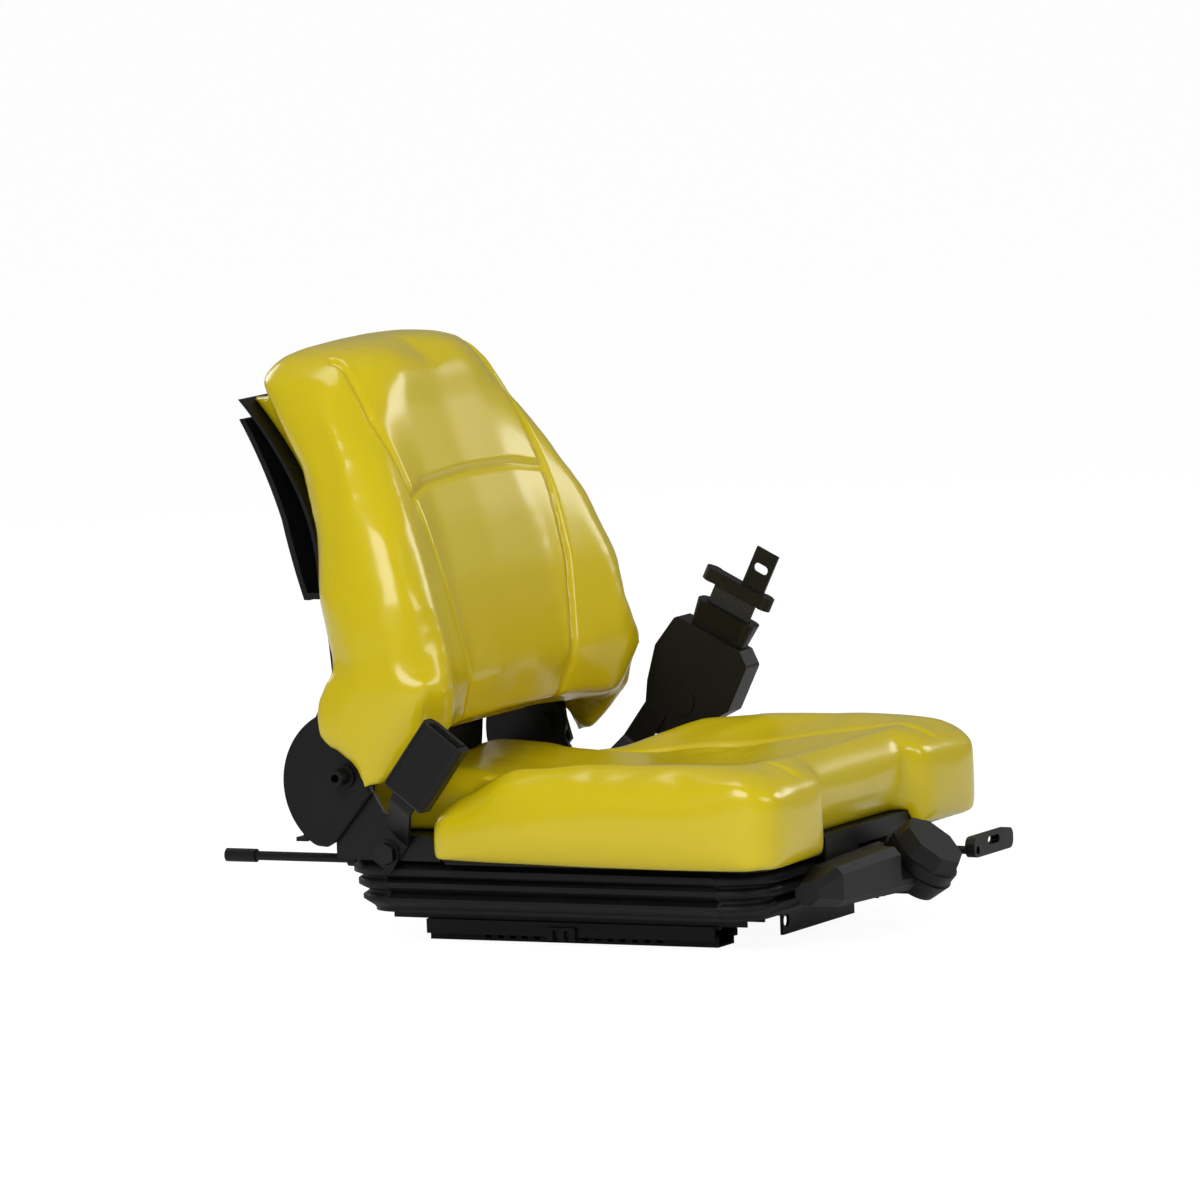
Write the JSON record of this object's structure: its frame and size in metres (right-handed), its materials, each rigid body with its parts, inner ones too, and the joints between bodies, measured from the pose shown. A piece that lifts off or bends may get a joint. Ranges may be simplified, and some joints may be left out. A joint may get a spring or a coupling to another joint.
{
  "type": "low-profile suspension seat",
  "caption": "Compact vinyl driver seat on slide rails with a bellows-covered suspension, reclining back, lap belt, weight knob and fore-and-aft lever",
  "frame": {"origin": "middle of the four floor bolt holes, on the underside of the lower rails", "axes": "front of the seat towards -Y, sitter's left +X, up +Z"},
  "size_m": [0.534, 0.684, 0.561],
  "materials": {
    "yellow_vinyl": "glossy PVC upholstery",
    "black_steel": "black powder coat",
    "zinc": "zinc-plated steel",
    "black_plastic": "grained black moulding",
    "bellows_rubber": "satin black rubber",
    "webbing": "woven black webbing",
    "nylon": "natural nylon"
  },
  "bodies": {
    "floor_rails": {"lower_rail_right": "black_steel", "lower_rail_left": "black_steel"},
    "slide_base": {"upper_rail_right": "black_steel", "upper_rail_left": "black_steel", "rail_glides": "nylon", "latch_guards": "black_steel", "base_frame": "black_steel", "base_pivot_rod": "zinc", "bump_stops": "bellows_rubber", "suspension_springs": "zinc", "damper_tube": "black_steel", "bellows": "bellows_rubber", "lever_ears": "black_steel", "lever_pin": "zinc"},
    "scissor_outer": {"outer_arms": "black_steel", "centre_pins": "zinc", "top_rollers": "nylon"},
    "scissor_inner": {"inner_arms": "black_steel", "base_rollers": "nylon"},
    "seat_frame": {"seat_pan": "black_steel", "top_pivot_rod": "zinc", "damper_rod": "zinc", "seat_cushion": "yellow_vinyl", "seat_bracket_right": "black_steel", "seat_bracket_left": "black_steel", "hinge_pin_right": "zinc", "hinge_pin_left": "zinc", "belt_anchor_right": "black_steel", "belt_anchor_left": "black_steel", "anchor_bolts": "zinc", "buckle_housing": "black_plastic", "retractor_housing": "black_plastic", "belt_sleeve": "black_plastic", "belt_webbing": "webbing", "belt_tongue": "black_plastic", "adjuster_housing": "black_plastic", "adjuster_bracket": "black_steel", "lead_clip": "black_plastic", "switch_lead": "black_plastic", "lead_connector": "black_plastic"},
    "backrest": {"back_cushion": "yellow_vinyl", "back_shell": "black_plastic", "rear_panel": "black_plastic", "rear_brace": "black_steel", "hinge_cover_right": "black_plastic", "hinge_cover_left": "black_plastic", "armrest_bosses": "black_plastic", "recline_pin": "zinc"},
    "recline_release": {"recline_lever": "black_plastic"},
    "weight_knob": {"adjuster_knob": "black_plastic", "adjuster_spindle": "zinc"},
    "slide_lever": {"lever_rod": "black_steel", "lever_grip": "black_plastic"},
    "belt_release": {"buckle_button": "black_plastic"}
  },
  "joints": [
    {"name": "fore_aft", "type": "slide", "parent": "floor_rails", "child": "slide_base", "axis": [0, 1, 0], "range_m": [-0.075, 0.075]},
    {"name": "suspension", "type": "slide", "parent": "slide_base", "child": "seat_frame", "axis": [0, 0, 1], "range_m": [-0.03, 0], "stiffness_N_per_m": 9000, "springref_m": 0.05, "deforming": ["bellows", "suspension_springs"]},
    {"name": "outer_arm_turn", "type": "hinge", "parent": "slide_base", "child": "scissor_outer", "pos_m": [0, 0.15, 0.048], "axis": [1, 0, 0], "range_deg": [0, 6.4]},
    {"name": "inner_arm_turn", "type": "hinge", "parent": "seat_frame", "child": "scissor_inner", "pos_m": [0, 0.15, 0.09], "axis": [1, 0, 0], "range_deg": [-6.4, 0]},
    {"name": "recline", "type": "hinge", "parent": "seat_frame", "child": "backrest", "pos_m": [0, 0.191, 0.167], "axis": [1, 0, 0], "range_deg": [-15, 12]},
    {"name": "recline_lever_lift", "type": "hinge", "parent": "backrest", "child": "recline_release", "pos_m": [0.2165, 0.228, 0.138], "axis": [1, 0, 0], "range_deg": [-20, 0], "stiffness_Nm_per_rad": 0.3, "springref_deg": 22.92},
    {"name": "weight_turn", "type": "hinge", "parent": "seat_frame", "child": "weight_knob", "pos_m": [0.044, -0.287, 0.066], "axis": [0, -0.6691, 0.7431], "continuous": true},
    {"name": "slide_lever_lift", "type": "hinge", "parent": "slide_base", "child": "slide_lever", "pos_m": [0.125, -0.196, 0.024], "axis": [-1, 0, 0], "range_deg": [0, 6], "stiffness_Nm_per_rad": 0.5, "springref_deg": -17.19},
    {"name": "button_press", "type": "slide", "parent": "seat_frame", "child": "belt_release", "axis": [0, 0.6, -0.8], "range_m": [0, 0.005], "stiffness_N_per_m": 100, "springref_m": -0.01}
  ],
  "couplings": [
    {"joint": "outer_arm_turn", "follows": "suspension", "rad_per_m": -3.5899},
    {"joint": "inner_arm_turn", "follows": "suspension", "rad_per_m": 3.5899}
  ]
}
